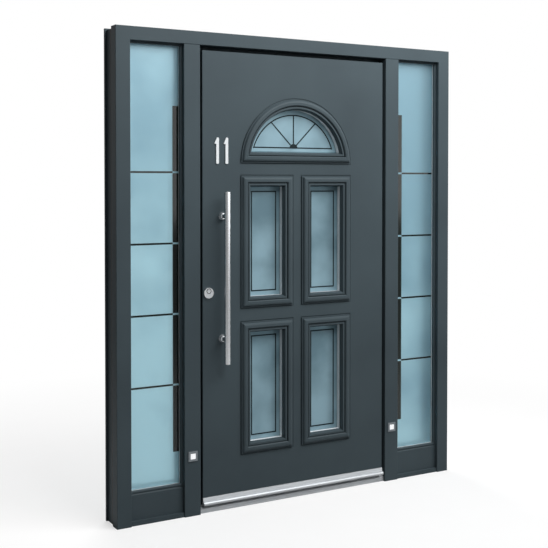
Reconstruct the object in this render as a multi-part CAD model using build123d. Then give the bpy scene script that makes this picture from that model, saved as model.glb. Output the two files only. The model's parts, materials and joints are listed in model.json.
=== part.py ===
from build123d import *
import os

# Aluminium entrance door: a leaf with a fanlight and four moulded windows between two glazed sidelights.
# Millimetres. X runs along the wall, +Y points into the room, Z is up, the sill stands on Z = 0.

# Whole frame
frame_width = 1800.0
frame_height = 2150.0
frame_depth = 115.0
outer_shell_depth = 53.0
inner_shell_depth = 34.0
frame_extension = 25.0
wall_flange = 12.0
break_recess = 8.0
break_end_gap = 0.5
jamb_face = 66.0
head_face = 59.0
mullion_face = 78.0
mullion_offset = 317.0
mullion_joint = 0.8
edge_round = 2.0

# Sidelights
base_height = 20.0
base_recess = 6.0
rail_height = 118.0
rail_recess = 20.0
rail_bevel = 8.0
bead_face = 10.0
bead_recess = 22.0
bead_depth = 12.0
bead_slope = 4.0
glass_edge_gap = 3.0
sidelight_glass_thickness = 44.0
sidelight_spacer_depth = 8.0
pane_thickness = 8.0
spacer_cover = 1.0
inner_bead_face = 12.0
inner_bead_depth = 16.0
bead_joint = 0.4

# Leaf
leaf_recess = 8.0
leaf_side_gap = 14.0
leaf_top_gap = 22.0
leaf_overlap = 12.0
rebate_gap = 8.0
stop_clearance = 10.0
skin_thickness = 4.0
core_inset = 3.0
leaf_bottom = 38.0
skin_bottom = 72.0

# Threshold and weather bar
threshold_height = 28.0
threshold_recess = 12.0
threshold_nose = 8.0
threshold_seal_width = 12.0
threshold_seal_height = 3.0
threshold_seal_inset = 30.0
bar_height = 36.0
bar_top_gap = 1.0
bar_proud = 2.0
bar_slope = 5.0
bar_nose = 9.0

# Rebate seal
seal_width = 8.0
seal_thickness = 5.0
seal_inset = 3.0

# Windows in the leaf
window_side_margin = 194.0
window_top_margin = 199.0
window_foot_margin = 172.0
window_gap = 50.0
fan_gap = 60.0
window_row_gap = 65.0
moulding_width = 50.0
moulding_fillet = 6.0
fillet_height = 5.0
band_foot = 9.0
band_knee = 4.0
band_knee_height = 14.0
band_round = 10.0
band_height = 16.0
band_bevel = 4.0
band_end = 31.0
quirk_height = 3.0
lip_start = 35.0
lip_end = 43.0
lip_height = 10.0
leg_start = 36.0
shadow_groove = 5.0
shadow_groove_depth = 3.0
opening_inset = 34.0
glass_inset = 38.0
leaf_glass_recess = 11.0
leaf_glass_thickness = 62.0
leaf_spacer_depth = 22.0

# Handles and lock
pull_length = 770.0
pull_diameter = 27.0
pull_middle = 1056.0
pull_standoff = 54.0
pull_bevel = 1.0
post_pitch = 552.0
post_diameter = 20.0
post_foot_diameter = 38.0
post_foot_rim = 4.0
post_neck_diameter = 26.0
post_neck_height = 15.0
rosette_diameter = 52.0
rosette_thickness = 8.0
rosette_rim = 3.0
rosette_crown = 47.0
rosette_edge = 28.0
lock_height = 989.0
plug_rise = 9.0
plug_recess_diameter = 24.0
plug_recess_depth = 3.0
plug_diameter = 17.0
plug_proud = 1.0
keyway_width = 2.4
keyway_height = 9.0
keyway_depth = 3.0
lever_height = 92.0
lever_plate_width = 34.0
lever_plate_length = 240.0
lever_plate_thickness = 8.0
lever_neck_diameter = 20.0
lever_reach = 50.0
lever_length = 125.0
lever_diameter = 20.0
inside_turn_diameter = 28.0
inside_turn_length = 12.0

# Hinges
hinge_foot_margin = 262.0
hinge_top_margin = 253.0
hinge_middle_lift = 5.0
barrel_radius = 11.0
barrel_offset = 16.0
knuckle_length = 32.0
knuckle_gap = 0.5
pin_radius = 6.0
pin_clearance = 0.05
hinge_plate_width = 36.0
hinge_plate_thickness = 5.0
hinge_plate_start = 15.0
tab_thickness = 8.0
tab_start = 4.0
tab_lift = 2.0

# Lock plates in the rebate
plate_length = 240.0
plate_width = 22.0
plate_thickness = 3.0
bolt_slot_width = 12.0
bolt_slot_heights = (30.0, 60.0)
bolt_slot_places = (-50.0, 45.0)

# Square plates low on the mullions
lamp_size = 44.0
lamp_thickness = 4.0
lamp_height = 268.0
lens_size = 24.0
lens_depth = 3.0

# Planes and edges that follow from the sizes
front = -frame_depth / 2
back = frame_depth / 2
break_front = front + outer_shell_depth
break_back = back - inner_shell_depth
frame_back = back + frame_extension
flange_front = frame_back - wall_flange
half_width = frame_width / 2
jamb_in = half_width - jamb_face
mullion_out = half_width - mullion_offset
stop_edge = mullion_out - mullion_face
head_bottom = frame_height - head_face
leaf_half = stop_edge - leaf_side_gap
rear_half = stop_edge + leaf_overlap
rebate_edge = rear_half + rebate_gap
leaf_top = head_bottom - leaf_top_gap
rear_top = head_bottom + leaf_overlap
rebate_top = rear_top + rebate_gap
leaf_front = front + leaf_recess
shoulder = break_front + stop_clearance
rail_top = base_height + rail_height
bead_front = front + bead_recess
glass_front = bead_front + bead_depth
glass_back = glass_front + sidelight_glass_thickness
satin_front = glass_front + sidelight_spacer_depth
satin_back = satin_front + pane_thickness
leaf_glass_front = leaf_front + leaf_glass_recess
leaf_glass_back = leaf_glass_front + leaf_glass_thickness
leaf_satin_front = leaf_glass_front + leaf_spacer_depth
leaf_satin_back = leaf_satin_front + pane_thickness
inside_leg = back - leaf_glass_back
fan_radius = leaf_half - window_side_margin
fan_base = leaf_top - window_top_margin - fan_radius
window_width = (2 * fan_radius - window_gap) / 2
window_middle = (window_gap + window_width) / 2
lower_window_bottom = skin_bottom + window_foot_margin
window_height = (fan_base - fan_gap - window_row_gap - lower_window_bottom) / 2
upper_window_bottom = lower_window_bottom + window_height + window_row_gap
plate_y = (break_back + back) / 2
low_hinge = leaf_bottom + hinge_foot_margin
high_hinge = rear_top - hinge_top_margin
hinge_heights = (low_hinge, (low_hinge + high_hinge) / 2 + hinge_middle_lift, high_hinge)
hinge_x = (rear_half + rebate_edge) / 2
hinge_y = back + barrel_offset
pull_x = -(leaf_half + fan_radius) / 2
lock_x = -leaf_half + rosette_edge


def box(x_range, y_range, z_range):
    """Solid block between two corners."""
    size = (x_range[1] - x_range[0], y_range[1] - y_range[0], z_range[1] - z_range[0])
    middle = ((x_range[0] + x_range[1]) / 2, (y_range[0] + y_range[1]) / 2, (z_range[0] + z_range[1]) / 2)
    return Pos(*middle) * Box(*size)


def plate_from_outline(points, y_range):
    """Prism of an outline drawn on the wall plane (X, Z), between two depths."""
    face = make_face(Polyline(*[(x, y_range[0], z) for x, z in points], close=True))
    return extrude(face, amount=y_range[1] - y_range[0], dir=(0, 1, 0))


def bar_from_profile(points, x_range):
    """Prism of a profile drawn across the wall (Y, Z), running along X."""
    face = make_face(Polyline(*[(x_range[0], y, z) for y, z in points], close=True))
    return extrude(face, amount=x_range[1] - x_range[0], dir=(1, 0, 0))


def rod(start, direction, length, radius):
    """Round bar from a point along a direction."""
    plane = Plane(origin=start, z_dir=direction)
    return extrude(plane * Circle(radius), amount=length)


def turned(points, start, direction):
    """Round piece turned from a half section of (radius, distance along the axis)."""
    plane = Plane(origin=start, z_dir=direction)
    corners = [plane.from_local_coords((radius, 0, along)) for radius, along in points]
    return revolve(make_face(Polyline(*corners, close=True)), axis=Axis(start, direction))


def mirrored(shape):
    """The same piece on the other side of the middle of the door."""
    return mirror(shape, about=Plane.YZ)


def ring(x_range, y_range, z_range, face):
    """Rectangular frame of bars of one width."""
    hole = box((x_range[0] + face, x_range[1] - face), y_range, (z_range[0] + face, z_range[1] - face))
    return box(x_range, y_range, z_range) - hole


def parted(beads, face):
    """Part a bead frame into its four bars by fine joints under the top bar and over the bottom one."""
    for height in (rail_top + face, head_bottom - face):
        beads = beads - box((mullion_out, jamb_in), (front, back), (height, height + bead_joint))
    return beads


def softened(shape, axis):
    """Round the long edges that face the street."""
    edges = shape.edges().filter_by(axis).group_by(Axis.Y)[0]
    return fillet(edges, edge_round)


# Frame profiles

def head_outline(inset, end_gap):
    """Head with mitred ends."""
    top = frame_height - inset
    wide = half_width - inset
    low = head_bottom + end_gap
    return [(-wide, top), (wide, top), (jamb_in, low), (-jamb_in, low)]


def stepped_head_outline(inset, end_gap):
    """Head behind the stop: cut away over the leaf."""
    top = frame_height - inset
    wide = half_width - inset
    low = head_bottom + end_gap
    return [(-wide, top), (wide, top), (jamb_in, low), (rebate_edge, low), (rebate_edge, rebate_top),
            (-rebate_edge, rebate_top), (-rebate_edge, low), (-jamb_in, low)]


def jamb_outline(inset, end_gap):
    """Right jamb with its mitred top."""
    wide = half_width - inset
    return [(jamb_in, 0), (wide, 0), (wide, frame_height - inset - end_gap), (jamb_in, head_bottom - end_gap)]


def lock_plate(edge):
    """Flat lock plate let into an upright edge at the left."""
    return box((edge, edge + plate_thickness), (plate_y - plate_width / 2, plate_y + plate_width / 2),
               (lock_height - plate_length / 2, lock_height + plate_length / 2))


outer_depth = (front, break_front)
break_depth = (break_front, break_back)
inner_depth = (break_back, back)
web_depth = (break_back, flange_front)
flange_depth = (flange_front, frame_back)

head_outer = softened(plate_from_outline(head_outline(0, 0), outer_depth), Axis.X)
head_inner = plate_from_outline(stepped_head_outline(break_recess, 0), web_depth)
head_inner = head_inner + plate_from_outline(stepped_head_outline(0, 0), flange_depth)
right_jamb_outer = softened(plate_from_outline(jamb_outline(0, 0), outer_depth), Axis.Z)
right_jamb_inner = plate_from_outline(jamb_outline(break_recess, 0), web_depth)
right_jamb_inner = right_jamb_inner + plate_from_outline(jamb_outline(0, 0), flange_depth)
right_mullion_outer = box((stop_edge, mullion_out), outer_depth, (0, head_bottom - mullion_joint))
right_mullion_outer = softened(right_mullion_outer, Axis.Z)
right_mullion_inner = box((rebate_edge, mullion_out), inner_depth, (0, head_bottom))
strike_plate = lock_plate(-rebate_edge - plate_thickness)
left_mullion_inner = mirrored(right_mullion_inner) - strike_plate
for slot_height, slot_place in zip(bolt_slot_heights, bolt_slot_places):
    slot_middle = lock_height + slot_place
    bolt_slot = box((-rebate_edge - plate_thickness, -rebate_edge),
                    (plate_y - bolt_slot_width / 2, plate_y + bolt_slot_width / 2),
                    (slot_middle - slot_height / 2, slot_middle + slot_height / 2))
    strike_plate = strike_plate - bolt_slot

break_head = plate_from_outline(stepped_head_outline(break_recess, break_end_gap), break_depth)
break_jamb = plate_from_outline(jamb_outline(break_recess, break_end_gap), break_depth)
break_mullion = box((rebate_edge, mullion_out), break_depth, (0, head_bottom - break_end_gap))
thermal_break = [break_head, break_jamb, mirrored(break_jamb), break_mullion, mirrored(break_mullion)]


# Sidelights

def bevelled_rail():
    """Bottom rail of the right sidelight, its top front edge sloping to the glass."""
    face_y = front + rail_recess
    profile = [(face_y, base_height), (back, base_height), (back, rail_top),
               (face_y + rail_bevel, rail_top), (face_y, rail_top - rail_bevel)]
    return bar_from_profile(profile, (mullion_out, jamb_in))


def outer_beads():
    """Sloping glazing bead all round the right sidelight."""
    beads = ring((mullion_out, jamb_in), (bead_front, glass_front), (rail_top, head_bottom), bead_face)
    inner_edges = [edge for edge in beads.edges().group_by(Axis.Y)[0]
                   if mullion_out < edge.center().X < jamb_in
                   and rail_top < edge.center().Z < head_bottom
                   and min(edge.center().X - mullion_out, jamb_in - edge.center().X) > bead_face / 2
                   and min(edge.center().Z - rail_top, head_bottom - edge.center().Z) > bead_face / 2]
    return parted(chamfer(inner_edges, bead_slope), bead_face)


base_profile = box((mullion_out, jamb_in), (front + base_recess, back), (0, base_height))
rail = bevelled_rail()
bead_outside = outer_beads()
glass_x = (mullion_out + glass_edge_gap, jamb_in - glass_edge_gap)
glass_z = (rail_top + glass_edge_gap, head_bottom - glass_edge_gap)
glass = box(glass_x, (satin_front, satin_back), glass_z)
spacer_face = bead_face - glass_edge_gap - spacer_cover
front_spacer = ring(glass_x, (glass_front, satin_front), glass_z, spacer_face)
rear_spacer = ring(glass_x, (satin_back, glass_back), glass_z, spacer_face)
bead_inside = parted(ring((mullion_out, jamb_in), (glass_back, glass_back + inner_bead_depth),
                          (rail_top, head_bottom), inner_bead_face), inner_bead_face)


# Threshold and rebate seal

threshold_front = front + threshold_recess
threshold_profile = [(threshold_front, 0), (back, 0), (back, threshold_height),
                     (threshold_front + threshold_nose, threshold_height),
                     (threshold_front, threshold_height - threshold_nose)]
threshold = bar_from_profile(threshold_profile, (-stop_edge, stop_edge))
seal_y = back - threshold_seal_inset
threshold_seal = box((-leaf_half, leaf_half), (seal_y - threshold_seal_width, seal_y),
                     (threshold_height, threshold_height + threshold_seal_height))

seal_in = stop_edge + seal_inset
seal_out = seal_in + seal_width
seal_top = head_bottom + seal_inset
seal_outline = [(-seal_out, threshold_height), (-seal_in, threshold_height), (-seal_in, seal_top),
                (seal_in, seal_top), (seal_in, threshold_height), (seal_out, threshold_height),
                (seal_out, seal_top + seal_width), (-seal_out, seal_top + seal_width)]
rebate_seal = plate_from_outline(seal_outline, (break_front, break_front + seal_thickness))


# Windows in the leaf: outlines and mouldings

def half_disc(inset, y_range):
    """Fanlight outline set in by a distance, as a solid between two depths."""
    reach = fan_radius - inset
    disc = rod((0, y_range[0], fan_base), (0, 1, 0), y_range[1] - y_range[0], reach)
    above = box((-reach, reach), y_range, (fan_base + inset, fan_base + reach))
    return disc & above


def window_block(place, inset, y_range):
    """Window outline set in by a distance, as a solid between two depths."""
    middle, bottom = place
    return box((middle - window_width / 2 + inset, middle + window_width / 2 - inset), y_range,
               (bottom + inset, bottom + window_height - inset))


def moulding_profile(plane, leg_depth, lipped):
    """Section of the moulding: fillet, raised band, quirk and lip on the street side, leg to the glass."""
    points = [(0, 0), (0, fillet_height), (moulding_fillet, fillet_height), (moulding_fillet, band_foot),
              (moulding_fillet + band_knee, band_knee_height), (moulding_fillet + band_round, band_height)]
    if lipped:
        points += [(band_end - band_bevel, band_height), (band_end, band_height - band_bevel),
                   (band_end, quirk_height), (lip_start, quirk_height), (lip_start, lip_height),
                   (lip_end, lip_height)]
    else:
        points += [(lip_end, band_height)]
    points += [(moulding_width, -leg_depth), (leg_start, -leg_depth), (leg_start, 0)]
    return make_face(Polyline(*[plane.from_local_coords((across, height, 0)) for across, height in points],
                              close=True))


def fan_moulding(leg_depth, lipped):
    """Arched moulding: a turned arch and a straight foot, meeting on the curve halfway between them."""
    arch_plane = Plane(origin=(fan_radius, leaf_front, fan_base), x_dir=(-1, 0, 0), z_dir=(0, 0, 1))
    foot_plane = Plane(origin=(-fan_radius, leaf_front, fan_base), x_dir=(0, 0, 1), z_dir=(1, 0, 0))
    arch = revolve(moulding_profile(arch_plane, leg_depth, lipped),
                   axis=Axis((0, 0, fan_base), (0, -1, 0)), revolution_arc=180)
    foot_face = moulding_profile(foot_plane, leg_depth, lipped)
    foot = extrude(foot_face, amount=2 * fan_radius, dir=foot_plane.z_dir)
    reach = frame_depth
    left = (-fan_radius, -reach, fan_base)
    right = (fan_radius, -reach, fan_base)
    mitre = Bezier(left, (0, -reach, fan_base + fan_radius), right)
    below = extrude(make_face([mitre, Line(right, left)]), amount=2 * reach, dir=(0, 1, 0))
    return (arch - below) + (foot & below)


def window_moulding(place, leg_depth, lipped):
    """Four bars with mitred corners."""
    middle, bottom = place
    wide = window_width / 2
    reach = (moulding_width + wide) / 2
    corners = [(middle - wide, bottom), (middle + wide, bottom),
               (middle + wide, bottom + window_height), (middle - wide, bottom + window_height)]
    inward = [(0, 1), (-1, 0), (0, -1), (1, 0)]
    whole = None
    for number, normal in enumerate(inward):
        start = corners[number]
        end = corners[(number + 1) % len(corners)]
        length = abs(end[0] - start[0]) + abs(end[1] - start[1])
        along = ((end[0] - start[0]) / length, (end[1] - start[1]) / length)
        plane = Plane(origin=(start[0], leaf_front, start[1]), x_dir=(normal[0], 0, normal[1]),
                      z_dir=(along[0], 0, along[1]))
        bar = extrude(moulding_profile(plane, leg_depth, lipped), amount=length, dir=plane.z_dir)
        near = (start[0] + (along[0] + normal[0]) * reach, start[1] + (along[1] + normal[1]) * reach)
        far = (end[0] + (normal[0] - along[0]) * reach, end[1] + (normal[1] - along[1]) * reach)
        region = plate_from_outline([start, end, far, near], (-frame_depth, frame_depth))
        bar = bar & region
        whole = bar if whole is None else whole + bar
    return whole


def turned_inside(shape):
    """The same moulding on the room side of the leaf."""
    middle = (leaf_front + back) / 2
    return mirror(shape, about=Plane(origin=(0, middle, 0), z_dir=(0, 1, 0)))


window_places = {
    "upper_left": (-window_middle, upper_window_bottom),
    "upper_right": (window_middle, upper_window_bottom),
    "lower_left": (-window_middle, lower_window_bottom),
    "lower_right": (window_middle, lower_window_bottom),
}
through = (leaf_front, back)
openings = [half_disc(opening_inset, through)]
for place in window_places.values():
    openings.append(window_block(place, opening_inset, through))


def cut_openings(shape):
    """Take the five window openings out of a sheet of the leaf."""
    for opening in openings:
        shape = shape - opening
    return shape


satin_depth = (leaf_satin_front, leaf_satin_back)
spacer_depths = ((leaf_glass_front, leaf_satin_front), (leaf_satin_back, leaf_glass_back))
spacer_inset = moulding_width - spacer_cover
outer_mouldings = {"fanlight": fan_moulding(leaf_glass_recess, True)}
inner_mouldings = [turned_inside(fan_moulding(inside_leg, False))]
panes = [half_disc(glass_inset, satin_depth)]
leaf_spacers = []
for depth in spacer_depths:
    leaf_spacers.append(half_disc(glass_inset, depth) - half_disc(spacer_inset, depth))
for name, place in window_places.items():
    outer_mouldings[name] = window_moulding(place, leaf_glass_recess, True)
    inner_mouldings.append(turned_inside(window_moulding(place, inside_leg, False)))
    panes.append(window_block(place, glass_inset, satin_depth))
    for depth in spacer_depths:
        spacer_hole = window_block(place, spacer_inset, depth)
        leaf_spacers.append(window_block(place, glass_inset, depth) - spacer_hole)


# Leaf sheets and core

core_front = leaf_front + skin_thickness
core_back = back - skin_thickness
outer_skin = box((-leaf_half, leaf_half), (leaf_front, core_front), (skin_bottom, leaf_top))
outer_skin = cut_openings(softened(outer_skin, Axis.Z))
groove_depth = (leaf_front, leaf_front + shadow_groove_depth)
outer_skin = outer_skin - (half_disc(-shadow_groove, groove_depth) - half_disc(0, groove_depth))
for place in window_places.values():
    groove = window_block(place, -shadow_groove, groove_depth) - window_block(place, 0, groove_depth)
    outer_skin = outer_skin - groove
inner_skin = cut_openings(box((-rear_half, rear_half), (core_back, back), (leaf_bottom, rear_top)))
core_narrow = box((-leaf_half + core_inset, leaf_half - core_inset), (core_front, shoulder),
                  (leaf_bottom, leaf_top - core_inset))
core_wide = box((-rear_half, rear_half), (shoulder, core_back), (leaf_bottom, rear_top))
faceplate = lock_plate(-rear_half)
core = cut_openings(core_narrow + core_wide) - faceplate


# Weather bar under the outer sheet

def make_weather_bar():
    """Sloping face with a rounded nose at its foot."""
    top = skin_bottom - bar_top_gap
    nose_z = top - bar_height + bar_nose
    nose_y = leaf_front - bar_proud - bar_slope
    profile = [(leaf_front - bar_proud, top), (core_front, top), (core_front, nose_z - bar_nose),
               (nose_y, nose_z - bar_nose), (nose_y, nose_z)]
    body = bar_from_profile(profile, (-leaf_half, leaf_half))
    nose = rod((-leaf_half, nose_y, nose_z), (1, 0, 0), 2 * leaf_half, bar_nose)
    return body + nose


weather_bar = make_weather_bar()


# Pull handle and lock

pull_y = leaf_front - pull_standoff
pull_low = pull_middle - pull_length / 2
pull_bar = rod((pull_x, pull_y, pull_low), (0, 0, 1), pull_length, pull_diameter / 2)
pull_bar = chamfer(pull_bar.edges().filter_by(GeomType.CIRCLE), pull_bevel)
post_section = [(0, 0), (post_foot_diameter / 2, 0), (post_foot_diameter / 2, post_foot_rim),
                (post_neck_diameter / 2, post_neck_height), (post_diameter / 2, post_neck_height),
                (post_diameter / 2, pull_standoff), (0, pull_standoff)]
bar_space = rod((pull_x, pull_y, pull_low), (0, 0, 1), pull_length, pull_diameter / 2)
posts = []
for side in (-1, 1):
    height = pull_middle + side * post_pitch / 2
    posts.append(turned(post_section, (pull_x, leaf_front, height), (0, -1, 0)) - bar_space)

plug_z = lock_height + plug_rise
recess_y = leaf_front - rosette_thickness + plug_recess_depth
rosette_section = [(0, 0), (rosette_diameter / 2, 0), (rosette_diameter / 2, rosette_rim),
                   (rosette_crown / 2, rosette_thickness), (0, rosette_thickness)]
rosette = turned(rosette_section, (lock_x, leaf_front, lock_height), (0, -1, 0))
rosette = rosette - rod((lock_x, recess_y, plug_z), (0, -1, 0), plug_recess_depth, plug_recess_diameter / 2)
plug_y = leaf_front - rosette_thickness - plug_proud
plug = rod((lock_x, recess_y, plug_z), (0, -1, 0), plug_recess_depth + plug_proud, plug_diameter / 2)
keyway = box((lock_x - keyway_width / 2, lock_x + keyway_width / 2), (plug_y, plug_y + keyway_depth),
             (plug_z - keyway_height / 2, plug_z + keyway_height / 2))
lock_plug = plug - keyway

lever_z = lock_height + lever_height
plate_middle = (lock_height + lever_z) / 2
lever_plate = box((lock_x - lever_plate_width / 2, lock_x + lever_plate_width / 2),
                  (back, back + lever_plate_thickness),
                  (plate_middle - lever_plate_length / 2, plate_middle + lever_plate_length / 2))
lever_plate = fillet(lever_plate.edges().group_by(Axis.Y)[-1], edge_round)
lever_face = back + lever_plate_thickness
lever_neck = rod((lock_x, lever_face, lever_z), (0, 1, 0), lever_reach, lever_neck_diameter / 2)
lever_bar = rod((lock_x - lever_diameter / 2, lever_face + lever_reach, lever_z), (1, 0, 0),
                lever_length + lever_diameter / 2, lever_diameter / 2)
lever = lever_neck + lever_bar
inside_turn = rod((lock_x, lever_face, lock_height), (0, 1, 0), inside_turn_length, inside_turn_diameter / 2)


# Hinges

def hinge_side(sign, z_low, length):
    """Knuckle with its tab, on the frame side (+1) or the leaf side (-1)."""
    knuckle = rod((hinge_x, hinge_y, z_low), (0, 0, 1), length, barrel_radius)
    tab_ends = sorted((hinge_x + sign * tab_start, hinge_x + sign * (hinge_plate_start + tab_start)))
    tab = box(tab_ends, (back + tab_lift, back + tab_lift + tab_thickness), (z_low, z_low + length))
    return knuckle + tab


def hinge_plate(sign, z_low, z_high):
    """Flat plate screwed to the frame (+1) or the leaf (-1)."""
    near = hinge_x + sign * hinge_plate_start
    ends = sorted((near, near + sign * hinge_plate_width))
    return box(ends, (back, back + hinge_plate_thickness), (z_low, z_high))


frame_hinges = []
leaf_hinges = []
for middle in hinge_heights:
    low = middle - knuckle_length / 2
    high = middle + knuckle_length / 2
    bottom = low - knuckle_gap - knuckle_length
    top = high + knuckle_gap + knuckle_length
    pin = rod((hinge_x, hinge_y, bottom), (0, 0, 1), top - bottom, pin_radius)
    frame_part = hinge_plate(1, bottom, top) + hinge_side(1, bottom, knuckle_length)
    frame_part = frame_part + hinge_side(1, high + knuckle_gap, knuckle_length) + pin
    bore = rod((hinge_x, hinge_y, bottom), (0, 0, 1), top - bottom, pin_radius + pin_clearance)
    leaf_part = hinge_plate(-1, bottom, top) + hinge_side(-1, low, knuckle_length) - bore
    frame_hinges.append(frame_part)
    leaf_hinges.append(leaf_part)


# Square plates on the mullions

lamp_x = (stop_edge + mullion_out) / 2


def lamp_parts():
    """Plate with a square lens let into it, on the right mullion."""
    face_y = front - lamp_thickness
    z_range = (lamp_height - lamp_size / 2, lamp_height + lamp_size / 2)
    body = box((lamp_x - lamp_size / 2, lamp_x + lamp_size / 2), (face_y, front), z_range)
    lens_box = box((lamp_x - lens_size / 2, lamp_x + lens_size / 2), (face_y, face_y + lens_depth),
                   (lamp_height - lens_size / 2, lamp_height + lens_size / 2))
    return body - lens_box, lens_box


lamp_plate, lamp_lens = lamp_parts()


nodes = {
    "head_outer": head_outer,
    "head_inner": head_inner,
    "left_jamb_outer": mirrored(right_jamb_outer),
    "left_jamb_inner": mirrored(right_jamb_inner),
    "right_jamb_outer": right_jamb_outer,
    "right_jamb_inner": right_jamb_inner,
    "left_mullion_outer": mirrored(right_mullion_outer),
    "left_mullion_inner": left_mullion_inner,
    "right_mullion_outer": right_mullion_outer,
    "right_mullion_inner": right_mullion_inner,
    "thermal_break": Compound(thermal_break),
    "sidelight_bases": Compound([mirrored(base_profile), base_profile]),
    "sidelight_rails": Compound([mirrored(rail), rail]),
    "beads_outside": Compound(mirrored(bead_outside).solids() + bead_outside.solids()),
    "beads_inside": Compound(mirrored(bead_inside).solids() + bead_inside.solids()),
    "sidelight_spacers": Compound([mirrored(front_spacer), mirrored(rear_spacer), front_spacer, rear_spacer]),
    "left_sidelight_glass": mirrored(glass),
    "right_sidelight_glass": glass,
    "threshold": threshold,
    "weather_seals": Compound([rebate_seal, threshold_seal]),
    "strike_plate": strike_plate,
    "frame_hinges": Compound(frame_hinges),
    "lamp_plates": Compound([mirrored(lamp_plate), lamp_plate]),
    "lamp_lenses": Compound([mirrored(lamp_lens), lamp_lens]),
    "leaf_outer_skin": outer_skin,
    "leaf_core": core,
    "leaf_inner_skin": inner_skin,
    "inside_mouldings": Compound(inner_mouldings),
    "weather_bar": weather_bar,
    "pull_bar": pull_bar,
    "pull_posts": Compound(posts),
    "lock_rosette": rosette,
    "lock_plug": lock_plug,
    "lever_plate": lever_plate,
    "lever": lever,
    "inside_turn": inside_turn,
    "lock_faceplate": faceplate,
    "leaf_hinges": Compound(leaf_hinges),
}
for name, shape in outer_mouldings.items():
    nodes[name + "_moulding"] = shape
nodes["leaf_spacers"] = Compound(leaf_spacers)
nodes["leaf_glass"] = Compound(panes)

os.makedirs("parts", exist_ok=True)
for name, shape in nodes.items():
    export_step(shape, "parts/" + name + ".step")
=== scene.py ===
import json
import math

import bmesh
import bpy
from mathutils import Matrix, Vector


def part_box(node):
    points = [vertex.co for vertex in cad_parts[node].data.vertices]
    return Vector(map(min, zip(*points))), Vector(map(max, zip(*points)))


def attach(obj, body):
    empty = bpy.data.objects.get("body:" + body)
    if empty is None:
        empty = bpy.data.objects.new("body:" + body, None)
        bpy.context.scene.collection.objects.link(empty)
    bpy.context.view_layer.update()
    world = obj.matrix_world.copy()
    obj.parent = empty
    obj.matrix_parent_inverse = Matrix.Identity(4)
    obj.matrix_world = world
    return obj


# Looks of the aluminium entrance door. Metres; the street is at -Y, the room at +Y, Z is up.

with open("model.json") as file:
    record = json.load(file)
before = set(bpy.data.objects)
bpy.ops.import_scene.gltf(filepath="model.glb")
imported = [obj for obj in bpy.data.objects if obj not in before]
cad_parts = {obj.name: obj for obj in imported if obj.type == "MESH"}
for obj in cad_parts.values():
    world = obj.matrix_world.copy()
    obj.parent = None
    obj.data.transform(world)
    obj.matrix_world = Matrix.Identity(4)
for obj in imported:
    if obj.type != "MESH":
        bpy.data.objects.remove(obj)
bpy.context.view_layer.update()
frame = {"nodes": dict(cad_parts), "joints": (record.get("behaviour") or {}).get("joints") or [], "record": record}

MM = 0.001

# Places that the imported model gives
leaf_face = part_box("leaf_outer_skin")[0].y
pane_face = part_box("leaf_glass")[0].y
fan_low, fan_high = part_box("fanlight_moulding")
lever_plate_low, lever_plate_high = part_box("lever_plate")
strike_low, strike_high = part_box("strike_plate")
faceplate_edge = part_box("lock_faceplate")[0].x
plug_low, plug_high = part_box("lock_plug")
hinge_x, hinge_y = frame["joints"][0]["pos_m"][:2]

# Windows in the leaf, open inside their mouldings
moulding_width = 50 * MM
window_names = ("upper_left", "upper_right", "lower_left", "lower_right")
window_boxes = [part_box(name + "_moulding") for name in window_names]
window_foot = window_boxes[2][0].z + moulding_width
window_pitch = window_boxes[0][0].z - window_boxes[2][0].z
fan_centre = fan_low.z
fan_sill = fan_centre + moulding_width
fan_radius = (fan_high.x - fan_low.x) / 2 - moulding_width

# Lines on the window panes
line_inset = 19 * MM
line_width = 6 * MM
line_thickness = 0.6 * MM
hub_radius = 22 * MM
hub_thickness = 1.5 * MM
hub_edge = 0.4 * MM
ray_angles = (-45, 0, 45)

# Clear lines and clear band in the satin sidelights
clear_line_heights = (1.528, 1.214, 0.901, 0.587)
clear_line_half = 4.2 * MM
clear_band_edges = (-0.620, 0.635)
clear_band_low = 0.288
clear_band_high = 1.820

# Painted shade on the sidelights: paler at the foot, deeper at the top and to the right
sidelight_foot = 0.1
sidelight_top = 2.1
painted_shade_per_metre_right = -0.2

# House number; each place is the left edge of a stem
numeral_places = (-0.424, -0.3775)
numeral_foot = 1.566
numeral_height = 118 * MM
numeral_stem = 14 * MM
numeral_corner = 4 * MM
numeral_thickness = 4 * MM
numeral_edge = 0.8 * MM
flag_reach = 8 * MM
flag_drop = 26 * MM

# Dark ring sheet at the foot of the groove round the plug of the lock: painted shade in the groove
ring_outer_radius = 11.8 * MM
ring_inner_radius = 8.7 * MM
ring_thickness = 1.5 * MM

# Steps of a curve
circle_steps = 48
hub_steps = 8
corner_steps = 4

# Hinges, their screws and pin caps, and the screws of the lock plates and the lever plate
hinge_heights = (0.300, 1.080, 1.850)
hinge_plate_face = 62.5 * MM
hinge_screw_reach = 36 * MM
hinge_screw_pitch = 36 * MM
hinge_half_height = 48.5 * MM
lock_screw_inset = 9 * MM
lever_screw_inset = 14 * MM
# Head diameter, head rise and recess width, the recess being a black disc painted as its shade
screw_sizes = (9 * MM, 1.2 * MM, 4 * MM)
cap_sizes = (18 * MM, 4 * MM, 6 * MM)

# Studio: the floor turns white between the two distances from the door
floor_reach = 30
fade_start = 1.0
fade_end = 3.5
white_near_door = 0.6
# Light from the left and from the right, as matt surfaces and as mirrors receive it
soft_levels = (0.1, 0.4)
mirror_levels = (0.34, 3.3)
mirror_start = -0.5

# Camera, in degrees
camera_pitch = 1.354
camera_heading = -29.845


# Colours and nodes

def linear(code):
    """sRGB hex colour as linear RGBA."""
    parts = [int(code[place:place + 2], 16) / 255 for place in (1, 3, 5)]
    return [part / 12.92 if part <= 0.04045 else ((part + 0.055) / 1.055) ** 2.4
            for part in parts] + [1]


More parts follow.
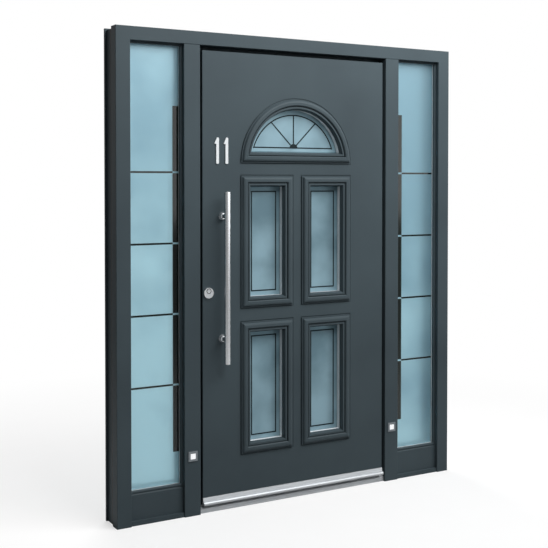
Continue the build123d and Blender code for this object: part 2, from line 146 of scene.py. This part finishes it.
def add(tree, kind, inputs=(), **settings):
    """Add a node with its settings, and feed its inputs with values or other nodes' outputs."""
    made = tree.nodes.new(kind)
    for name, value in settings.items():
        setattr(made, name, value)
    for socket, value in dict(inputs).items():
        if isinstance(value, bpy.types.NodeSocket):
            tree.links.new(value, made.inputs[socket])
        else:
            made.inputs[socket].default_value = value
    return made


def start_material(name):
    """Empty material: its node tree and the place of each point on the object."""
    material = bpy.data.materials.new(name)
    material.use_nodes = True
    tree = material.node_tree
    tree.nodes.clear()
    return material, tree, add(tree, "ShaderNodeTexCoord").outputs["Object"]


def end_material(tree, inputs):
    """Close a material with its shader."""
    shader = add(tree, "ShaderNodeBsdfPrincipled", inputs)
    add(tree, "ShaderNodeOutputMaterial", {"Surface": shader.outputs[0]})


# Finishes. A colour mix has its two colours at inputs 6 and 7, a number mix its numbers at 2 and 3.

def powder_coat():
    """Satin anthracite powder coat: even blue-grey, soft sheen, faint orange peel."""
    material, tree, place = start_material("satin_powder_coat_anthracite")
    # The peel of about 1 mm is drawn at 3 mm so that it shows
    peel = add(tree, "ShaderNodeTexNoise", {"Vector": place, "Scale": 1 / (3 * MM), "Detail": 2})
    drift = add(tree, "ShaderNodeTexNoise", {"Vector": place, "Scale": 1 / (400 * MM), "Detail": 3})
    colour = add(tree, "ShaderNodeValToRGB", {"Fac": drift.outputs["Fac"]})
    colour.color_ramp.elements[0].position = 0.3
    colour.color_ramp.elements[0].color = linear("#3a4449")
    colour.color_ramp.elements[1].position = 0.7
    colour.color_ramp.elements[1].color = linear("#414c51")
    rough = add(tree, "ShaderNodeMapRange",
                {"Value": peel.outputs["Fac"], "To Min": 0.44, "To Max": 0.52})
    bump = add(tree, "ShaderNodeBump",
               {"Height": peel.outputs["Fac"], "Strength": 0.12, "Distance": 0.3 * MM})
    end_material(tree, {"Base Color": colour.outputs[0], "Roughness": rough.outputs[0],
                        "Normal": bump.outputs[0], "Specular IOR Level": 0.1})
    return material


def anodised_aluminium():
    """Natural anodised aluminium extrusion: pale silver, faint lines along its length."""
    material, tree, place = start_material("natural_anodised_aluminium")
    stretch = add(tree, "ShaderNodeMapping", {"Vector": place, "Scale": (0.02, 1, 1)})
    # Die lines of about 0.3 mm are drawn at 2 mm so that they show
    lines = add(tree, "ShaderNodeTexNoise",
                {"Vector": stretch.outputs[0], "Scale": 1 / (2 * MM), "Detail": 3})
    colour = add(tree, "ShaderNodeValToRGB", {"Fac": lines.outputs["Fac"]})
    colour.color_ramp.elements[0].position = 0.3
    colour.color_ramp.elements[0].color = linear("#9b9fa3")
    colour.color_ramp.elements[1].position = 0.7
    colour.color_ramp.elements[1].color = linear("#b3b7ba")
    rough = add(tree, "ShaderNodeMapRange",
                {"Value": lines.outputs["Fac"], "To Min": 0.32, "To Max": 0.44})
    bump = add(tree, "ShaderNodeBump",
               {"Height": lines.outputs["Fac"], "Strength": 0.1, "Distance": 0.1 * MM})
    end_material(tree, {"Base Color": colour.outputs[0], "Roughness": rough.outputs[0],
                        "Normal": bump.outputs[0], "Metallic": 0.5})
    return material


def brushed_stainless():
    """Brushed stainless steel: silver grey with fine lines round the bar."""
    material, tree, place = start_material("brushed_stainless_steel")
    stretch = add(tree, "ShaderNodeMapping", {"Vector": place, "Scale": (0.03, 0.03, 1)})
    # Brush lines of about 0.1 mm are drawn at 1.5 mm so that they show
    lines = add(tree, "ShaderNodeTexNoise",
                {"Vector": stretch.outputs[0], "Scale": 1 / (1.5 * MM), "Detail": 4})
    colour = add(tree, "ShaderNodeValToRGB", {"Fac": lines.outputs["Fac"]})
    colour.color_ramp.elements[0].position = 0.25
    colour.color_ramp.elements[0].color = linear("#d6d9dc")
    colour.color_ramp.elements[1].position = 0.75
    colour.color_ramp.elements[1].color = linear("#e4e7e9")
    rough = add(tree, "ShaderNodeMapRange",
                {"Value": lines.outputs["Fac"], "To Min": 0.2, "To Max": 0.26})
    bump = add(tree, "ShaderNodeBump",
               {"Height": lines.outputs["Fac"], "Strength": 0.03, "Distance": 0.1 * MM})
    end_material(tree, {"Base Color": colour.outputs[0], "Roughness": rough.outputs[0],
                        "Normal": bump.outputs[0], "Metallic": 1.0})
    return material


def satin(tree, place, tone, deep, pale, through):
    """Shader inputs of satin etched glass: milky blue that lets soft light through."""
    milk = add(tree, "ShaderNodeValToRGB", {"Fac": tone})
    milk.color_ramp.elements[0].position = 0.3
    milk.color_ramp.elements[0].color = linear(deep)
    milk.color_ramp.elements[1].position = 0.7
    milk.color_ramp.elements[1].color = linear(pale)
    # Etch grain of about 0.05 mm is drawn at 1 mm so that it shows
    grain = add(tree, "ShaderNodeTexNoise", {"Vector": place, "Scale": 1 / (1 * MM), "Detail": 1})
    bump = add(tree, "ShaderNodeBump",
               {"Height": grain.outputs["Fac"], "Strength": 0.05, "Distance": 0.1 * MM})
    return {"Base Color": milk.outputs[0], "Roughness": 0.42, "Normal": bump.outputs[0],
            "Transmission Weight": through, "IOR": 1.5, "Specular IOR Level": 0.06}


def clear_stripes(tree, place):
    """Mask of a sidelight's unetched parts: level lines and a band, etched where they cross."""
    axes = add(tree, "ShaderNodeSeparateXYZ", {"Vector": place}).outputs
    stripes = [add(tree, "ShaderNodeMath", {0: axes["Z"], 1: height, 2: clear_line_half},
                   operation="COMPARE") for height in clear_line_heights]
    lines = stripes[0]
    for stripe in stripes[1:]:
        lines = add(tree, "ShaderNodeMath", {0: lines.outputs[0], 1: stripe.outputs[0]},
                    operation="ADD")
    after_left = add(tree, "ShaderNodeMath", {0: axes["X"], 1: clear_band_edges[0]},
                     operation="GREATER_THAN")
    before_right = add(tree, "ShaderNodeMath", {0: axes["X"], 1: clear_band_edges[1]},
                       operation="LESS_THAN")
    band_middle = (clear_band_low + clear_band_high) / 2
    band_half = (clear_band_high - clear_band_low) / 2
    tall = add(tree, "ShaderNodeMath", {0: axes["Z"], 1: band_middle, 2: band_half},
               operation="COMPARE")
    wide = add(tree, "ShaderNodeMath", {0: after_left.outputs[0], 1: before_right.outputs[0]},
               operation="MULTIPLY")
    band = add(tree, "ShaderNodeMath", {0: wide.outputs[0], 1: tall.outputs[0]},
               operation="MULTIPLY")
    apart = add(tree, "ShaderNodeMath", {0: lines.outputs[0], 1: band.outputs[0]},
                operation="SUBTRACT")
    return add(tree, "ShaderNodeMath", {0: apart.outputs[0]}, operation="ABSOLUTE").outputs[0]


def sidelight_glass():
    """Satin glass with clear stripes: milky blue with painted shade that deepens it to the right and towards the
    top, and the unetched stripes painted dark as the shade seen through clear glass.
    """
    material, tree, place = start_material("satin_etched_glass")
    cloud = add(tree, "ShaderNodeTexNoise", {"Vector": place, "Scale": 1 / (300 * MM),
                                             "Detail": 3, "Roughness": 0.45})
    axes = add(tree, "ShaderNodeSeparateXYZ", {"Vector": place}).outputs
    # Painted shade: the glass is painted paler at the foot and deeper towards the top
    painted_shade_fall = add(tree, "ShaderNodeMapRange", {"Value": axes["Z"], "From Min": sidelight_foot,
                                            "From Max": sidelight_top,
                                            "To Min": 0.25, "To Max": -0.3})
    level = add(tree, "ShaderNodeMath", {0: cloud.outputs["Fac"], 1: painted_shade_fall.outputs[0]},
                operation="ADD")
    # Painted shade: the tone also deepens to the right
    tone = add(tree, "ShaderNodeMath", {0: axes["X"], 1: painted_shade_per_metre_right, 2: level.outputs[0]},
               operation="MULTIPLY_ADD")
    inputs = satin(tree, place, tone.outputs[0], "#8ab1c0", "#add3de", 0.7)
    mask = clear_stripes(tree, place)
    # The clear stripes are painted dark: painted shade standing in for the dimness seen through clear glass
    colour = add(tree, "ShaderNodeMix",
                 {"Factor": mask, 6: inputs["Base Color"], 7: linear("#1d2422")}, data_type="RGBA")
    rough = add(tree, "ShaderNodeMapRange",
                {"Value": mask, "To Min": inputs["Roughness"], "To Max": 0.08})
    inputs["Base Color"] = colour.outputs[2]
    inputs["Roughness"] = rough.outputs[0]
    end_material(tree, inputs)
    return material


def window_glass():
    """Satin glass of the leaf's windows: grey blue, with painted shade that deepens each pane towards its top."""
    material, tree, place = start_material("satin_etched_window_glass")
    cloud = add(tree, "ShaderNodeTexNoise", {"Vector": place, "Scale": 1 / (160 * MM),
                                             "Detail": 3, "Roughness": 0.45})
    height = add(tree, "ShaderNodeSeparateXYZ", {"Vector": place}).outputs["Z"]
    # Painted shade under the top mouldings: both rows of windows are shaded alike, so heights repeat at their
    # pitch
    row_top = window_foot + window_pitch
    pane = add(tree, "ShaderNodeMath", {0: height, 1: row_top, 2: window_foot}, operation="WRAP")
    painted_shade_fall = add(tree, "ShaderNodeMapRange", {"Value": pane.outputs[0], "From Min": window_foot,
                                            "From Max": row_top, "To Min": 0.2, "To Max": -0.3})
    tone = add(tree, "ShaderNodeMath", {0: cloud.outputs["Fac"], 1: painted_shade_fall.outputs[0]},
               operation="ADD")
    end_material(tree, satin(tree, place, tone.outputs[0], "#66838f", "#93b2be", 0.5))
    return material


def plain_finish(name, dark, light, grain_size, rough, bump_strength, others=()):
    """Matt moulded or painted finish: one tone broken by a fine grain."""
    material, tree, place = start_material(name)
    rough_spread = 0.05
    grain = add(tree, "ShaderNodeTexNoise", {"Vector": place, "Scale": 1 / grain_size, "Detail": 3})
    colour = add(tree, "ShaderNodeValToRGB", {"Fac": grain.outputs["Fac"]})
    colour.color_ramp.elements[0].position = 0.3
    colour.color_ramp.elements[0].color = linear(dark)
    colour.color_ramp.elements[1].position = 0.7
    colour.color_ramp.elements[1].color = linear(light)
    spread = add(tree, "ShaderNodeMapRange",
                 {"Value": grain.outputs["Fac"], "To Min": rough - rough_spread,
                  "To Max": rough + rough_spread})
    bump = add(tree, "ShaderNodeBump", {"Height": grain.outputs["Fac"], "Strength": bump_strength,
                                        "Distance": 0.2 * MM})
    end_material(tree, {"Base Color": colour.outputs[0], "Roughness": spread.outputs[0],
                        "Normal": bump.outputs[0], **dict(others)})
    return material


finishes = {
    "anthracite_paint": powder_coat(),
    # Glass-filled polyamide: matt black with pale fibre specks
    "black_polyamide": plain_finish("glass_filled_polyamide", "#131414", "#1f2020", 2 * MM,
                                    0.6, 0.15),
    "satin_glass": sidelight_glass(),
    "natural_aluminium": anodised_aluminium(),
    # EPDM rubber: soft matt black
    "black_rubber": plain_finish("epdm_rubber", "#0e0f10", "#191a1b", 3 * MM, 0.7, 0.2),
    "brushed_stainless": brushed_stainless(),
    # Bead-blasted aluminium plate: mid grey, matt
    "dark_plate": plain_finish("bead_blasted_plate", "#6b7277", "#767d82", 2 * MM, 0.45, 0.1),
    # Opal acrylic, faintly lit from behind: milky white, smooth
    "pale_lens": plain_finish("opal_acrylic", "#e6e9ec", "#f3f5f6", 6 * MM, 0.25, 0.03,
                              {"Emission Strength": 0.35}),
}
leaf_glass_finish = window_glass()
# Mill-finish aluminium spacer between the panes: bright and dull
spacer_finish = plain_finish("mill_finish_spacer", "#d6dadd", "#e4e7e9", 5 * MM, 0.45, 0.05)
# Patinated lead strip: dark grey, dull
lead_finish = plain_finish("patinated_lead", "#161f22", "#1e292c", 4 * MM, 0.6, 0.1,
                           {"Specular IOR Level": 0.1})
# Satin lacquered aluminium numerals: near white, soft sheen
numeral_finish = plain_finish("satin_lacquered_aluminium", "#ccd1d4", "#dadee0", 3 * MM, 0.4, 0.03)

# Nodes whose finish isn't that of their slot
own_finishes = {"leaf_glass": leaf_glass_finish, "leaf_spacers": spacer_finish,
                "sidelight_spacers": spacer_finish}
for row in frame["record"]["subparts"]:
    finish = own_finishes.get(row["node"], finishes[row["material_slot"]])
    for holder in frame["nodes"][row["node"]].material_slots:
        holder.material = finish


# Pieces

def new_piece(name, mesh, body):
    """Turn a finished mesh into a piece that rides on a body."""
    mesh.name = name
    piece = bpy.data.objects.new(name, mesh)
    bpy.context.scene.collection.objects.link(piece)
    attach(piece, body)


def to_mesh(shape, material):
    """Mesh of a built shape, in one finish."""
    mesh = bpy.data.meshes.new("shape")
    shape.to_mesh(mesh)
    shape.free()
    mesh.materials.append(material)
    return mesh


def raise_outlines(outlines, depth_low, depth_high, edge, material):
    """Solid plates from closed outlines on the wall plane (X, Z), their edges eased."""
    sharp_angle = math.radians(40)
    shape = bmesh.new()
    for outline in outlines:
        face = shape.faces.new([shape.verts.new((x, depth_low, z)) for x, z in outline])
        rise = bmesh.ops.extrude_face_region(shape, geom=[face])
        moved = [item for item in rise["geom"] if isinstance(item, bmesh.types.BMVert)]
        bmesh.ops.translate(shape, verts=moved, vec=(0, depth_high - depth_low, 0))
    bmesh.ops.recalc_face_normals(shape, faces=shape.faces)
    if edge:
        sharp = [item for item in shape.edges if item.calc_face_angle(0) > sharp_angle]
        bmesh.ops.bevel(shape, geom=sharp, offset=edge, segments=2, affect="EDGES", profile=0.5)
    return to_mesh(shape, material)


def ring_plate(outer, inner, depth_low, depth_high, material):
    """Flat ring between two outlines that have the same number of points."""
    shape = bmesh.new()
    corners = ((outer, depth_low), (inner, depth_low), (inner, depth_high), (outer, depth_high))
    loops = [[shape.verts.new((x, depth, z)) for x, z in outline] for outline, depth in corners]
    count = len(outer)
    for one, other in zip(loops, loops[1:] + loops[:1]):
        for place in range(count):
            after = (place + 1) % count
            shape.faces.new((one[place], one[after], other[after], other[place]))
    bmesh.ops.recalc_face_normals(shape, faces=shape.faces)
    return to_mesh(shape, material)


def arc(centre, radius, start, end, steps):
    """Points along part of a circle, angles in degrees."""
    turns = [math.radians(start + (end - start) * step / steps) for step in range(steps + 1)]
    return [(centre[0] + radius * math.cos(turn), centre[1] + radius * math.sin(turn))
            for turn in turns]


def strip(start, end, width):
    """Outline of a straight strip between two points."""
    along = (Vector(end) - Vector(start)).normalized() * width / 2
    side = Vector((-along.y, along.x))
    return [tuple(Vector(start) + side), tuple(Vector(end) + side),
            tuple(Vector(end) - side), tuple(Vector(start) - side)]


def window_lines():
    """Outlines of the lead strips: a frame in each window; arch, sill and rays in the fanlight."""
    outlines = []
    half = line_width / 2
    inset = moulding_width + line_inset
    for low, high in window_boxes:
        left, right = low.x + inset, high.x - inset
        foot, top = low.z + inset, high.z - inset
        for height in (foot + half, top - half):
            outlines.append(strip((left, height), (right, height), line_width))
        for x in (left + half, right - half):
            outlines.append(strip((x, foot + line_width), (x, top - line_width), line_width))
    radius = fan_radius - line_inset
    inner_radius = radius - line_width
    sill = fan_sill + line_inset
    lift = sill - fan_centre
    start = math.degrees(math.asin(lift / radius))
    outer = arc((0, fan_centre), radius, start, 180 - start, circle_steps)
    inner = arc((0, fan_centre), inner_radius, start, 180 - start, circle_steps)
    outlines.append(outer + inner[::-1])
    reach = radius * math.cos(math.radians(start)) - line_width
    outlines.append(strip((-reach, sill + half), (reach, sill + half), line_width))
    # Each ray runs from the hub to the arch
    for angle in ray_angles:
        across, up = math.sin(math.radians(angle)), math.cos(math.radians(angle))
        run = -lift * up + math.sqrt(inner_radius ** 2 - (lift * across) ** 2)
        near = (hub_radius * across, sill + hub_radius * up)
        far = (run * across, sill + run * up)
        outlines.append(strip(near, far, line_width))
    return outlines


def numeral_one(left):
    """Outline of a plain figure one with a short flag, from the left edge of its stem."""
    corner = numeral_corner
    right = left + numeral_stem
    foot = numeral_foot
    top = foot + numeral_height
    tip = left - flag_reach
    flag = top - flag_drop
    return (arc((right - corner, foot + corner), corner, -90, 0, corner_steps)
            + arc((right - corner, top - corner), corner, 0, 90, corner_steps)
            + [(left + corner, top), (tip + corner / 2, flag + corner), (tip, flag),
               (tip + corner / 2, flag - corner), (left, flag - corner / 2)]
            + arc((left + corner, foot + corner), corner, 180, 270, corner_steps))


new_piece("window_lines",
          raise_outlines(window_lines(), pane_face - line_thickness, pane_face, 0, lead_finish),
          "door_leaf")

hub_outline = arc((0, fan_sill + line_inset), hub_radius, 0, 180, hub_steps)
new_piece("fanlight_hub",
          raise_outlines([hub_outline], pane_face - hub_thickness, pane_face, hub_edge,
                         lead_finish),
          "door_leaf")

numerals = [numeral_one(place) for place in numeral_places]
new_piece("house_number",
          raise_outlines(numerals, leaf_face - numeral_thickness, leaf_face, numeral_edge,
                         numeral_finish),
          "door_leaf")

plug_middle = (plug_low + plug_high) / 2
ring_centre = (plug_middle.x, plug_middle.z)
ring_face = plug_high.y
# The last point of a full circle is its first again
ring_outer = arc(ring_centre, ring_outer_radius, 0, 360, circle_steps)[:-1]
ring_inner = arc(ring_centre, ring_inner_radius, 0, 360, circle_steps)[:-1]
# A black ring laid in the groove round the plug as painted shade
new_piece("lock_groove_shade_ring",
          ring_plate(ring_outer, ring_inner, ring_face - ring_thickness, ring_face,
                     finishes["black_rubber"]),
          "door_leaf")


# Screws, made by Geometry Nodes

def screw_tree():
    """Countersunk screw heads, each with a black hexagonal disc on top as painted shade for its recess, one on
    each point, turned to its facing.
    """
    top_share = 0.4
    recess_share = 0.1
    tree = bpy.data.node_groups.new("countersunk_screws", "GeometryNodeTree")
    face = tree.interface
    face.new_socket("Geometry", in_out="INPUT", socket_type="NodeSocketGeometry")
    for name in ("Head diameter", "Head rise", "Recess width"):
        face.new_socket(name, in_out="INPUT", socket_type="NodeSocketFloat")
    for name in ("Head finish", "Recess shade finish"):
        face.new_socket(name, in_out="INPUT", socket_type="NodeSocketMaterial")
    face.new_socket("Geometry", in_out="OUTPUT", socket_type="NodeSocketGeometry")
    given = add(tree, "NodeGroupInput").outputs
    base = add(tree, "ShaderNodeMath", {0: given["Head diameter"], 1: 0.5}, operation="MULTIPLY")
    top = add(tree, "ShaderNodeMath", {0: given["Head diameter"], 1: top_share},
              operation="MULTIPLY")
    head = add(tree, "GeometryNodeMeshCone",
               {"Vertices": 24, "Radius Top": top.outputs[0], "Radius Bottom": base.outputs[0],
                "Depth": given["Head rise"]})
    head_done = add(tree, "GeometryNodeSetMaterial",
                    {"Geometry": head.outputs[0], "Material": given["Head finish"]})
    pit_radius = add(tree, "ShaderNodeMath", {0: given["Recess width"], 1: 0.5},
                     operation="MULTIPLY")
    pit_rise = add(tree, "ShaderNodeMath", {0: given["Head rise"], 1: recess_share},
                   operation="MULTIPLY")
    # Painted shade: a thin black hexagon on top of the head stands in for the shadowed recess
    recess_shade_disc = add(tree, "GeometryNodeMeshCylinder",
              {"Vertices": 6, "Radius": pit_radius.outputs[0], "Depth": pit_rise.outputs[0]})
    pit_place = add(tree, "ShaderNodeCombineXYZ", {"Z": given["Head rise"]})
    pit_up = add(tree, "GeometryNodeTransform",
                 {"Geometry": recess_shade_disc.outputs[0], "Translation": pit_place.outputs[0]})
    recess_shade_done = add(tree, "GeometryNodeSetMaterial",
                   {"Geometry": pit_up.outputs[0], "Material": given["Recess shade finish"]})
    screw = add(tree, "GeometryNodeJoinGeometry")
    tree.links.new(head_done.outputs[0], screw.inputs[0])
    tree.links.new(recess_shade_done.outputs[0], screw.inputs[0])
    facing = add(tree, "GeometryNodeInputNamedAttribute", {"Name": "facing"},
                 data_type="FLOAT_VECTOR")
    turn = add(tree, "FunctionNodeAlignRotationToVector", {"Vector": facing.outputs[0]}, axis="Z")
    points = add(tree, "GeometryNodeMeshToPoints", {"Mesh": given["Geometry"]})
    heads = add(tree, "GeometryNodeInstanceOnPoints",
                {"Points": points.outputs[0], "Instance": screw.outputs[0],
                 "Rotation": turn.outputs[0]})
    real = add(tree, "GeometryNodeRealizeInstances", {"Geometry": heads.outputs[0]})
    add(tree, "NodeGroupOutput", {0: real.outputs[0]})
    return tree


screws = screw_tree()


def set_screws(name, places, body, sizes):
    """One mesh of screws or caps for a body, from places and the way each faces."""
    holder = bpy.data.meshes.new(name + "_points")
    holder.from_pydata([place for place, facing in places], [], [])
    facings = holder.attributes.new("facing", "FLOAT_VECTOR", "POINT")
    for number, (place, facing) in enumerate(places):
        facings.data[number].vector = facing
    carrier = bpy.data.objects.new(name + "_points", holder)
    bpy.context.scene.collection.objects.link(carrier)
    modifier = carrier.modifiers.new("screws", "NODES")
    modifier.node_group = screws
    # The black finish of the recess is painted shade
    values = {"Head diameter": sizes[0], "Head rise": sizes[1], "Recess width": sizes[2],
              "Head finish": finishes["brushed_stainless"],
              "Recess shade finish": finishes["black_polyamide"]}
    for item in screws.interface.items_tree:
        if item.in_out == "INPUT" and item.name in values:
            modifier[item.identifier] = values[item.name]
    bpy.context.view_layer.update()
    found = bpy.context.evaluated_depsgraph_get()
    mesh = bpy.data.meshes.new_from_object(carrier.evaluated_get(found))
    bpy.data.objects.remove(carrier)
    new_piece(name, mesh, body)


room = (0, 1, 0)
frame_places = []
leaf_places = []
cap_places = []
for height in hinge_heights:
    for step in (-hinge_screw_pitch, 0, hinge_screw_pitch):
        frame_places.append(((hinge_x + hinge_screw_reach, hinge_plate_face, height + step), room))
        leaf_places.append(((hinge_x - hinge_screw_reach, hinge_plate_face, height + step), room))
    for end in (-1, 1):
        cap_places.append(((hinge_x, hinge_y, height + end * hinge_half_height), (0, 0, end)))
plate_y = (strike_low.y + strike_high.y) / 2
for height in (strike_low.z + lock_screw_inset, strike_high.z - lock_screw_inset):
    frame_places.append(((strike_high.x, plate_y, height), (1, 0, 0)))
    leaf_places.append(((faceplate_edge, plate_y, height), (-1, 0, 0)))
lever_x = (lever_plate_low.x + lever_plate_high.x) / 2
for height in (lever_plate_low.z + lever_screw_inset, lever_plate_high.z - lever_screw_inset):
    leaf_places.append(((lever_x, lever_plate_high.y, height), room))
set_screws("frame_screws", frame_places, "frame", screw_sizes)
set_screws("leaf_screws", leaf_places, "door_leaf", screw_sizes)
set_screws("hinge_caps", cap_places, "frame", cap_sizes)


# Studio: pale floor, white background, and a high soft lamp on the street side and the room side

def studio_floor():
    """Pale matt floor that keeps the door's shadow and runs out to white."""
    material, tree, place = start_material("pale_studio_floor")
    speck = add(tree, "ShaderNodeTexNoise", {"Vector": place, "Scale": 1 / (250 * MM)})
    tone = add(tree, "ShaderNodeValToRGB", {"Fac": speck.outputs["Fac"]})
    tone.color_ramp.elements[0].color = linear("#f4f4f4")
    tone.color_ramp.elements[1].color = linear("#fafafa")
    path = add(tree, "ShaderNodeLightPath").outputs
    # Matt surfaces receive less light from the floor than mirrors do
    bounce = add(tree, "ShaderNodeMix", {"Factor": path["Is Diffuse Ray"], 6: tone.outputs[0],
                                         7: linear("#909090")}, data_type="RGBA")
    matt = add(tree, "ShaderNodeBsdfDiffuse", {"Color": bounce.outputs[2]})
    white = add(tree, "ShaderNodeEmission", {"Strength": 1.0})
    away = add(tree, "ShaderNodeVectorMath", {0: place}, operation="LENGTH")
    fade = add(tree, "ShaderNodeMapRange",
               {"Value": away.outputs["Value"], "From Min": fade_start, "From Max": fade_end,
                "To Min": white_near_door, "To Max": 1.0}, interpolation_type="SMOOTHSTEP")
    seen = add(tree, "ShaderNodeMath", {0: path["Is Camera Ray"], 1: fade.outputs[0]},
               operation="MULTIPLY")
    share = add(tree, "ShaderNodeMath", {0: seen.outputs[0], 1: path["Is Transmission Ray"]},
                operation="MAXIMUM")
    both = add(tree, "ShaderNodeMixShader",
               {0: share.outputs[0], 1: matt.outputs[0], 2: white.outputs[0]})
    add(tree, "ShaderNodeOutputMaterial", {"Surface": both.outputs[0]})
    return material


floor_mesh = bpy.data.meshes.new("studio_floor")
floor_corners = [(x * floor_reach, y * floor_reach, 0)
                 for x, y in ((-1, -1), (1, -1), (1, 1), (-1, 1))]
floor_mesh.from_pydata(floor_corners, [], [(0, 1, 2, 3)])
floor_mesh.materials.append(studio_floor())
floor = bpy.data.objects.new("studio_floor", floor_mesh)
bpy.context.scene.collection.objects.link(floor)

world = bpy.data.worlds.new("studio")
bpy.context.scene.world = world
world.use_nodes = True
sky = world.node_tree
sky.nodes.clear()
way = add(sky, "ShaderNodeTexCoord").outputs["Generated"]
axes = add(sky, "ShaderNodeSeparateXYZ", {"Vector": way}).outputs
# The studio is dim at the left and bright at the right
soft = add(sky, "ShaderNodeMapRange",
           {"Value": axes["X"], "From Min": -1.0, "From Max": 1.0,
            "To Min": soft_levels[0], "To Max": soft_levels[1]})
mirrored = add(sky, "ShaderNodeMapRange",
               {"Value": axes["X"], "From Min": mirror_start, "From Max": 1.0,
                "To Min": mirror_levels[0], "To Max": mirror_levels[1]})
path = add(sky, "ShaderNodeLightPath").outputs
ambient = add(sky, "ShaderNodeMix",
              {0: path["Is Glossy Ray"], 2: soft.outputs[0], 3: mirrored.outputs[0]},
              data_type="FLOAT")
# Plain white where the camera sees it, also through the glass
seen = add(sky, "ShaderNodeMath", {0: path["Is Camera Ray"], 1: path["Is Transmission Ray"]},
           operation="MAXIMUM")
shown = add(sky, "ShaderNodeMix", {0: seen.outputs[0], 2: ambient.outputs[0], 3: 1.0},
            data_type="FLOAT")
back = add(sky, "ShaderNodeBackground", {"Color": (1, 1, 1, 1), "Strength": shown.outputs[0]})
add(sky, "ShaderNodeOutputWorld", {"Surface": back.outputs[0]})


def soft_lamp(name, place, target, width, height, power):
    """Large soft white lamp aimed at a point."""
    lamp = bpy.data.lights.new(name, "AREA")
    lamp.shape = "RECTANGLE"
    lamp.size = width
    lamp.size_y = height
    lamp.energy = power
    holder = bpy.data.objects.new(name, lamp)
    holder.location = place
    holder.rotation_euler = (Vector(target) - Vector(place)).to_track_quat("-Z", "Y").to_euler()
    # Seen neither by the camera nor through the glass
    holder.visible_camera = False
    holder.visible_transmission = False
    bpy.context.scene.collection.objects.link(holder)


soft_lamp("key_lamp", place=(0.8, -2.0, 3.5), target=(0.1, 0, 1.6), width=3.6, height=1.6,
          power=155)
soft_lamp("room_lamp", place=(0.3, 2.3, 3.2), target=(0.1, 0, 1.4), width=2.0, height=1.6,
          power=85)


# Camera at the photograph's place; the shift keeps the uprights nearly parallel

camera_data = bpy.data.cameras.new("camera")
camera_data.sensor_width = 36
camera_data.lens = 66.54
camera_data.shift_y = -0.125
camera = bpy.data.objects.new("camera", camera_data)
camera.location = (-2.4547, -4.1114, 1.4869)
camera.rotation_euler = (math.radians(90 - camera_pitch), 0, math.radians(camera_heading))
bpy.context.scene.collection.objects.link(camera)
bpy.context.scene.camera = camera
bpy.context.scene.view_settings.view_transform = "Standard"
